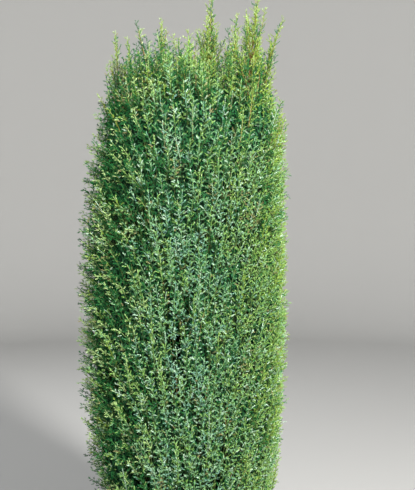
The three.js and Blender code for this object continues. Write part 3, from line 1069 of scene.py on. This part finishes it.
# A plume's axis, twigs, shoots and branchlets, each with its radius, slot, rings and sides
def stemSets(own, plume, mine, branchlets):
    chance = drawsFor("stems", own).random(len(mine["length"]))
    isLead = (mine["kind"] == leadKind) & (mine["root"][:, 2] > wood["leadsAbove"])
    isOrange = isLead | (mine["kind"] == sideKind) | (chance < wood["orange"])
    shootSlot = np.where(isOrange, orange, np.where(chance < wood["brown"], brown, green))
    foot, bend, tip = plume["line"]
    axis = {
        "root": foot[None],
        "first": (2 * (bend - foot))[None],
        "last": (2 * (tip - bend))[None],
        "length": np.ones(1),
    }
    axisRadius, axisSlot = wood["axisRadius"], brown
    if plume["spireTip"]:
        axisRadius, axisSlot = wood["leaderAxisRadius"], orange
    twigs = twigPaths(mine)
    radius = wood["shootRadius"] * np.sqrt(mine["length"] / wood["shootLength"])
    radius = radius * np.where(isLead, wood["leadThicker"], 1)
    return [
        (axis, axisRadius, axisSlot, wood["axisRings"], wood["axisSides"]),
        (twigs, wood["twigRadius"], brown, 2, 3),
        (mine, radius, shootSlot, 3, 3),
        (branchlets, wood["branchletRadius"], green, 1, 3),
    ]


def joinStems(name, sets):
    points, triangles, slots = [], [], []
    offset = 0
    for path, radius, slot, rings, sides in sets:
        count = len(path["length"])
        made, faces, each = stemMesh(path, radius * np.ones(count), rings, sides)
        points.append(made)
        triangles.append(faces + offset)
        slots.append(np.repeat(slot * np.ones(count, int), each))
        offset += len(made)
    parts = [np.concatenate(each) for each in (points, triangles, slots)]
    return makePiece(name, *parts, stemFinishes)


shoots = growShoots()
print("shoots placed:", len(shoots["length"]))

pieces = {}
needleCount = 0
stems = {"low": [], "middle": [], "leader": []}
for own, plume in enumerate(plumes):
    needles, mine, branchlets, count = growMass(own, plume, shoots)
    needleCount += count
    pieces[needles.name] = (needles, f"{plume['tier']}_needles", f"foliage_{plume['name']}")
    stems[plume["tier"]] += stemSets(own, plume, mine, branchlets)
print("needle triangles:", needleCount)

stemCount = 0
for tierName, sets in stems.items():
    piece = joinStems(f"twigs_{tierName}", sets)
    stemCount += len(piece.data.polygons)
    pieces[piece.name] = (piece, "bark", None)
    print(piece.name, len(piece.data.polygons))


# The shade inside the crown: a dark, rough heart behind the shoots of each mass
heart = {
    "segments": 20,
    "rings": 16,
    "depth": 0.070,
    "gap": 0.004,
    "top": 2.120,
    "evenness": 0.7,  # how evenly its points are spread up the axis
    "least": 0.012,
    "most": (0.500, 0.045),  # how far its points may go, at its middle and at its ends
    "roughness": 0.050,
    "grain": 0.030,
    "grainDetail": 3,
}


def selectOnly(*chosen):
    bpy.ops.object.select_all(action="DESELECT")
    for piece in chosen:
        piece.select_set(True)
    bpy.context.view_layer.objects.active = chosen[0]


def editAll():
    bpy.ops.object.mode_set(mode="EDIT")
    bpy.ops.mesh.select_all(action="SELECT")


def deselectAll():
    bpy.ops.mesh.select_all(action="DESELECT")
    bpy.ops.object.mode_set(mode="OBJECT")


def joined(name, parts):
    selectOnly(*parts)
    bpy.ops.object.join()
    piece = bpy.context.object
    piece.name = name
    return piece


def finishPiece(piece, material, slotName):
    piece.data.materials.clear()
    piece.data.materials.append(material)
    pieces[piece.name] = (piece, slotName, None)
    print(piece.name, len(piece.data.polygons))


def displace(piece, texture, strength, stretch=(1, 1, 1)):
    bpy.ops.object.empty_add(location=(0, 0, 0))
    guide = bpy.context.object
    guide.scale = stretch
    selectOnly(piece)
    relief = piece.modifiers.new("relief", "DISPLACE")
    relief.texture = texture
    relief.texture_coords = "OBJECT"
    relief.texture_coords_object = guide
    relief.strength = strength
    relief.mid_level = 0.5
    bpy.context.view_layer.update()
    bpy.ops.object.modifier_apply(modifier=relief.name)
    bpy.data.objects.remove(guide)


def cloudTexture(name, scale, depth, kind="SOFT_NOISE"):
    texture = bpy.data.textures.new(name, "CLOUDS")
    texture.noise_scale = scale
    texture.noise_depth = depth
    texture.noise_type = kind
    return texture


# A sphere with its points sent out from the plume's axis to the edge of its space, as in the source
def growHeart(own, plume):
    segments, rings = heart["segments"], heart["rings"]
    bpy.ops.mesh.primitive_uv_sphere_add(segments=segments, ring_count=rings, radius=1)
    piece = bpy.context.object
    points = np.array([vertex.co for vertex in piece.data.vertices])
    even = 1 - np.arccos(np.clip(points[:, 2], -1, 1)) / math.pi
    line = plume["line"]
    shares = np.linspace(0, 1, 200)
    last = shares[pointOn(line, shares)[:, 2] < heart["top"]][-1] if plume["spireTip"] else 1
    start = pointOn(line, lerp(even, (points[:, 2] + 1) / 2, heart["evenness"]) * last)
    outward = pointOn(line, 0.5)
    angle = math.atan2(outward[1], outward[0]) + angleOf(points)
    tilt = points[:, 2] ** 3 * math.pi / 2
    direction = onCircle(np.cos(tilt), angle, np.sin(tilt))
    reached = march(start, direction, np.full(len(start), own), heart["depth"], -heart["gap"])
    most = lerp(*heart["most"], np.abs(np.sin(tilt)))
    places = start + direction * np.clip(reached, heart["least"], most)[:, None]
    piece.data.vertices.foreach_set("co", places.ravel())
    piece.data.update()
    editAll()
    bpy.ops.mesh.normals_make_consistent(inside=False)
    bpy.ops.mesh.subdivide(number_cuts=1, smoothness=0.5)
    bpy.ops.object.mode_set(mode="OBJECT")
    return piece


def addHearts():
    grain = cloudTexture("heartGrain", heart["grain"], heart["grainDetail"])
    for tierName in stems:
        own = [number for number, plume in enumerate(plumes) if plume["tier"] == tierName]
        piece = joined(f"shade_{tierName}", [growHeart(number, plumes[number]) for number in own])
        displace(piece, grain, heart["roughness"])
        finishPiece(piece, heartFinish, f"{tierName}_needles")


mottleDetail = 6


# Patches from dark to light with their height, for the shade inside the crown and for the bark
def mottleGroup():
    group = bpy.data.node_groups.new("mottle", "ShaderNodeTree")
    for socketName, kind, way in (
        ("Vector", "Vector", "INPUT"),
        ("Stretch", "Vector", "INPUT"),
        ("Scale", "Float", "INPUT"),
        ("Dark", "Color", "INPUT"),
        ("Light", "Color", "INPUT"),
        ("Dark End", "Float", "INPUT"),
        ("Light End", "Float", "INPUT"),
        ("Colour", "Color", "OUTPUT"),
        ("Height", "Float", "OUTPUT"),
    ):
        group.interface.new_socket(socketName, in_out=way, socket_type=f"NodeSocket{kind}")
    kinds = ("Mapping", "TexNoise", "MapRange", "Mix")
    mapping, noise, share, mix = [group.nodes.new(f"ShaderNode{kind}") for kind in kinds]
    given, made = [group.nodes.new(f"NodeGroup{kind}") for kind in ("Input", "Output")]
    noise.inputs["Detail"].default_value = mottleDetail
    mix.data_type = "RGBA"
    blend = {socket.identifier: socket for socket in (*mix.inputs, *mix.outputs)}
    for source, target in (
        (given.outputs["Vector"], mapping.inputs["Vector"]),
        (given.outputs["Stretch"], mapping.inputs["Scale"]),
        (mapping.outputs["Vector"], noise.inputs["Vector"]),
        (given.outputs["Scale"], noise.inputs["Scale"]),
        (noise.outputs["Fac"], share.inputs["Value"]),
        (given.outputs["Dark End"], share.inputs["From Min"]),
        (given.outputs["Light End"], share.inputs["From Max"]),
        (share.outputs["Result"], blend["Factor_Float"]),
        (given.outputs["Dark"], blend["A_Color"]),
        (given.outputs["Light"], blend["B_Color"]),
        (blend["Result_Color"], made.inputs["Colour"]),
        (noise.outputs["Fac"], made.inputs["Height"]),
    ):
        group.links.new(source, target)
    return group


mottle = mottleGroup()
heartLook = {
    "sheen": (0.95, 0.10),
    "patches": {
        "Dark": (0.001, 0.010, 0.004, 1),
        "Light": (0.030, 0.120, 0.048, 1),
        "Dark End": 0.47,
        "Light End": 0.62,
        "Scale": 120,
        "Stretch": (1, 1, 0.6),
    },
    "bump": 0.6,
}
barkLook = {
    "sheen": (0.90, 0.10),
    "patches": {
        "Dark": (0.055, 0.028, 0.018, 1),
        "Light": (0.260, 0.150, 0.095, 1),
        "Dark End": 0.36,
        "Light End": 0.68,
        "Scale": 55,
        "Stretch": (1, 1, 0.16),
    },
    "bump": 0.9,
}
bumpDistance = 0.004


def mottledFinish(name, look):
    material = plainFinish(name, look["patches"]["Light"][:3], *look["sheen"])
    tree = material.node_tree
    kinds = ("TexCoord", "Group", "Bump")
    coordinates, patches, relief = [tree.nodes.new(f"ShaderNode{kind}") for kind in kinds]
    patches.node_tree = mottle
    for socketName, value in look["patches"].items():
        patches.inputs[socketName].default_value = value
    relief.inputs["Strength"].default_value = look["bump"]
    relief.inputs["Distance"].default_value = bumpDistance
    shader = tree.nodes["Principled BSDF"]
    tree.links.new(coordinates.outputs["Object"], patches.inputs["Vector"])
    tree.links.new(patches.outputs["Colour"], shader.inputs["Base Color"])
    tree.links.new(patches.outputs["Height"], relief.inputs["Height"])
    tree.links.new(relief.outputs["Normal"], shader.inputs["Normal"])
    return material


heartFinish = mottledFinish("crownShade", heartLook)
barkFinish = mottledFinish("peelingBark", barkLook)
addHearts()

# The trunk and boughs keep the frame's shape and get a skin of bark that peels in upright strips
bark = {
    "merge": 1e-5,
    "cutHeight": 1e-4,  # the edges below it, round the cut under the trunk, stay sharp
    "trunkLevels": 3,
    "boughLevels": 2,
    "trunkDepth": 0.007,
    "boughDepth": 0.003,
    "strips": 0.014,
    "stripDetail": 2,
    "stripLength": (1, 1, 8),
}


def barkCopy(nodeName, levels):
    piece = frame["nodes"][nodeName].copy()
    piece.data = piece.data.copy()
    piece.parent = None
    piece.name = f"{nodeName}_bark"
    for key in list(piece.keys()):
        del piece[key]
    bpy.context.scene.collection.objects.link(piece)
    selectOnly(piece)
    editAll()
    bpy.ops.mesh.remove_doubles(threshold=bark["merge"])
    bpy.ops.mesh.tris_convert_to_quads()
    deselectAll()
    for edge in piece.data.edges:
        edge.select = all(piece.data.vertices[i].co.z < bark["cutHeight"] for i in edge.vertices)
    bpy.ops.object.mode_set(mode="EDIT")
    bpy.ops.transform.edge_crease(value=1)
    bpy.ops.object.mode_set(mode="OBJECT")
    rounder = piece.modifiers.new("rounder", "SUBSURF")
    rounder.levels = rounder.render_levels = levels
    bpy.ops.object.modifier_apply(modifier=rounder.name)
    return piece


def addBark():
    boughNodes = sorted(name for name in frame["nodes"] if name.startswith("bough_"))
    strips = cloudTexture("barkStrips", bark["strips"], bark["stripDetail"], "HARD_NOISE")
    trunkBark = barkCopy("trunk", bark["trunkLevels"])
    displace(trunkBark, strips, bark["trunkDepth"], bark["stripLength"])
    copies = [barkCopy(name, bark["boughLevels"]) for name in boughNodes]
    boughBark = joined("boughs_bark", copies)
    displace(boughBark, strips, bark["boughDepth"], bark["stripLength"])
    for piece, nodes in ((trunkBark, ["trunk"]), (boughBark, boughNodes)):
        for vertex in piece.data.vertices:
            vertex.co.z = max(vertex.co.z, 0)
        selectOnly(piece)
        bpy.ops.object.shade_smooth()
        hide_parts(*nodes)
        finishPiece(piece, barkFinish, "bark")


addBark()

for piece, slotName, node in pieces.values():
    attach(piece, "root")
    if node:
        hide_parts(node)


# Studio: a round pale floor that curves up into a wall, soft light, and the photograph's camera
studio = {
    "floorRadius": 6.5,
    "inset": 0.5,
    "rim": 0.99,  # its outermost edges lie beyond this share of its radius
    "coveRadius": 1.6,
    "coveSteps": 10,
    "wallTop": 5.5,
    "sides": 96,
    "smoothAngle": 30,
    "colour": (0.46, 0.46, 0.455),
}
# Each light's place, the height that it aims at, its watts, width and colour
lights = {
    "key": ((3.4, -5.5, 4.8), 1.2, 1310, 1.0, (1.0, 0.98, 0.94)),
    "fill": ((-4.9, -2.7, 4.0), 1.3, 215, 0.4, (1.0, 1.0, 0.98)),
    "back": ((-1.5, 4.2, 3.8), 1.5, 60, 2.5, (1.0, 1.0, 1.0)),
}
sky = {"colour": (0.88, 0.93, 0.98, 1), "strength": 0.20}
view = {
    "scale": 0.00433,  # metres a pixel at the plant
    "focalPixels": 1039,
    "photoSize": (415, 490),
    "footPixel": (183.5, 600),  # where the plant's foot would stand, below the frame
    "eyeHeight": 1.9,
    "sensor": 36,
    "clipEnd": 60,
}


def raiseEdges(height):
    bpy.ops.mesh.extrude_edges_move(TRANSFORM_OT_translate={"value": (0, 0, height)})


def addStage():
    radius, cove = studio["floorRadius"], studio["coveRadius"]
    bpy.ops.mesh.primitive_circle_add(vertices=studio["sides"], radius=radius, fill_type="NGON")
    floor = bpy.context.object
    floor.name = "studio_floor"
    editAll()
    bpy.ops.mesh.inset(thickness=radius * studio["inset"])
    deselectAll()
    rim = radius * studio["rim"]
    for edge in floor.data.edges:
        edge.select = all(floor.data.vertices[i].co.length > rim for i in edge.vertices)
    bpy.ops.object.mode_set(mode="EDIT")
    bpy.ops.mesh.select_mode(type="EDGE")
    steps = studio["coveSteps"]
    out, rise = radius, 0.0
    for step in range(1, steps + 1):
        angle = math.pi / 2 * step / steps
        nextOut, nextRise = radius + cove * math.sin(angle), cove * (1 - math.cos(angle))
        raiseEdges(nextRise - rise)
        bpy.ops.transform.resize(value=(nextOut / out, nextOut / out, 1), center_override=(0, 0, 0))
        out, rise = nextOut, nextRise
    raiseEdges(studio["wallTop"] - rise)
    bpy.ops.object.mode_set(mode="OBJECT")
    bpy.ops.object.shade_smooth_by_angle(angle=math.radians(studio["smoothAngle"]))
    floor.data.materials.append(plainFinish("studioPaper", studio["colour"], *sheen["paper"]))


def aimAt(thing, place, target):
    bpy.context.scene.collection.objects.link(thing)
    thing.location = place
    thing.rotation_mode = "QUATERNION"
    thing.rotation_quaternion = (Vector(target) - Vector(place)).to_track_quat("-Z", "Y")


def addLight(name, place, aimHeight, watts, width, colour):
    data = bpy.data.lights.new(name, "AREA")
    data.energy = watts
    data.color = colour
    data.shape = "DISK"
    data.size = width
    aimAt(bpy.data.objects.new(name, data), place, (0, 0, aimHeight))


def addSky():
    world = bpy.data.worlds.new("studio")
    bpy.context.scene.world = world
    world.use_nodes = True
    background = world.node_tree.nodes["Background"]
    background.inputs["Color"].default_value = sky["colour"]
    background.inputs["Strength"].default_value = sky["strength"]


def addCamera():
    scale, focal = view["scale"], view["focalPixels"]
    width, height = view["photoSize"]
    across, down = view["footPixel"]
    aim = Vector(((width / 2 - across) * scale, 0, (down - height / 2) * scale))
    data = bpy.data.cameras.new("camera")
    data.sensor_width = view["sensor"]
    data.lens = focal / max(width, height) * data.sensor_width
    data.clip_end = view["clipEnd"]
    camera = bpy.data.objects.new("camera", data)
    aimAt(camera, (aim.x, -focal * scale, view["eyeHeight"]), aim)
    bpy.context.scene.camera = camera


addStage()
for name, light in lights.items():
    addLight(name, *light)
addSky()
bpy.context.scene.view_settings.view_transform = "Standard"
addCamera()
print("studio, lights and camera added")

print("triangles in needles and twigs:", needleCount + stemCount)
